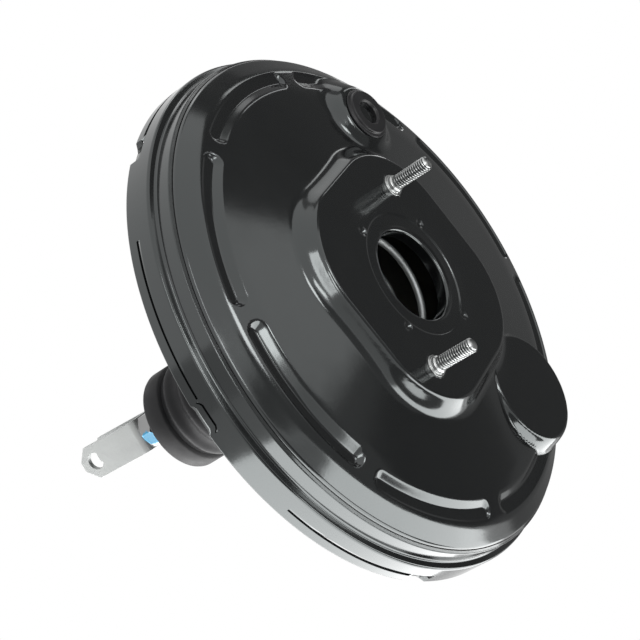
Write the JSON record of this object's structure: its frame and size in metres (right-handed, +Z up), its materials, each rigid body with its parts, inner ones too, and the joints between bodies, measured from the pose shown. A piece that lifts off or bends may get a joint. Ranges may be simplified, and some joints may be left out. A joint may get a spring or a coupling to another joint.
{
  "type": "brake booster",
  "caption": "Vacuum brake booster: pressed drum with diaphragm piston, control valve, return spring, dust boot, pedal rod with fork, and studs to bulkhead and master cylinder.",
  "frame": {"origin": "centre of the bulkhead mounting face, on the axis of the drum and between the four bulkhead studs", "axes": "-Y runs forward along the drum axis to the master cylinder, +Y back to the pedal, +Z runs up the line of the two master cylinder studs to the vacuum port, +X to the right looking along +Y"},
  "size_m": [0.3, 0.2804, 0.3],
  "materials": {
    "gloss_black_paint": "gloss black paint over pressed steel",
    "zinc_steel": "bright zinc plate",
    "fork_zinc": "zinc plate with a faint yellow cast",
    "nut_zinc": "zinc plate with a blue paint mark",
    "grommet_rubber": "smooth black rubber",
    "boot_rubber": "matte black rubber",
    "seal_rubber": "smooth black rubber",
    "guide_plastic": "natural nylon",
    "hub_plastic": "dark brown moulding",
    "plate_steel": "plain pressed steel",
    "spring_steel": "drawn spring wire",
    "filter_felt": "pale felt",
    "silencer_foam": "dark open foam"
  },
  "bodies": {
    "housing": {"front_shell": "gloss_black_paint", "rear_shell": "gloss_black_paint", "front_reinforcement_plate": "zinc_steel", "rear_reinforcement_plate": "zinc_steel", "master_cylinder_studs": "zinc_steel", "bulkhead_studs": "zinc_steel", "vacuum_grommet": "grommet_rubber", "neck_seal": "seal_rubber", "neck_guide": "guide_plastic", "diaphragm": "seal_rubber", "return_spring": "spring_steel", "boot": "boot_rubber"},
    "power_piston": {"valve_body": "hub_plastic", "diaphragm_plate": "plate_steel", "diaphragm_retainer": "plate_steel", "reaction_disc": "seal_rubber", "output_rod": "zinc_steel", "output_rod_retainer": "plate_steel", "stop_key": "plate_steel", "poppet_valve": "seal_rubber", "poppet_retainer": "plate_steel", "air_filter": "filter_felt", "silencer": "silencer_foam", "poppet_spring": "spring_steel", "rod_return_spring": "spring_steel"},
    "control_plunger": {"valve_plunger": "zinc_steel"},
    "pedal_rod": {"input_rod": "zinc_steel", "clevis": "fork_zinc", "clevis_locknut": "nut_zinc"}
  },
  "joints": [
    {"name": "booster_stroke", "type": "slide", "parent": "housing", "child": "power_piston", "axis": [0, -1, 0], "range_m": [0, 0.036], "stiffness_N_per_m": 3000, "deforming": ["return_spring", "diaphragm", "boot"]},
    {"name": "valve_travel", "type": "slide", "parent": "power_piston", "child": "control_plunger", "axis": [0, -1, 0], "range_m": [0, 0.002], "stiffness_N_per_m": 4000, "deforming": ["poppet_spring", "rod_return_spring"]},
    {"name": "rod_swivel", "type": "hinge", "parent": "control_plunger", "child": "pedal_rod", "pos_m": [0, 0.008, 0], "axis": [0.8039, 0, 0.5948], "range_deg": [-5.4, 0.2], "stiffness_Nm_per_rad": 8}
  ]
}
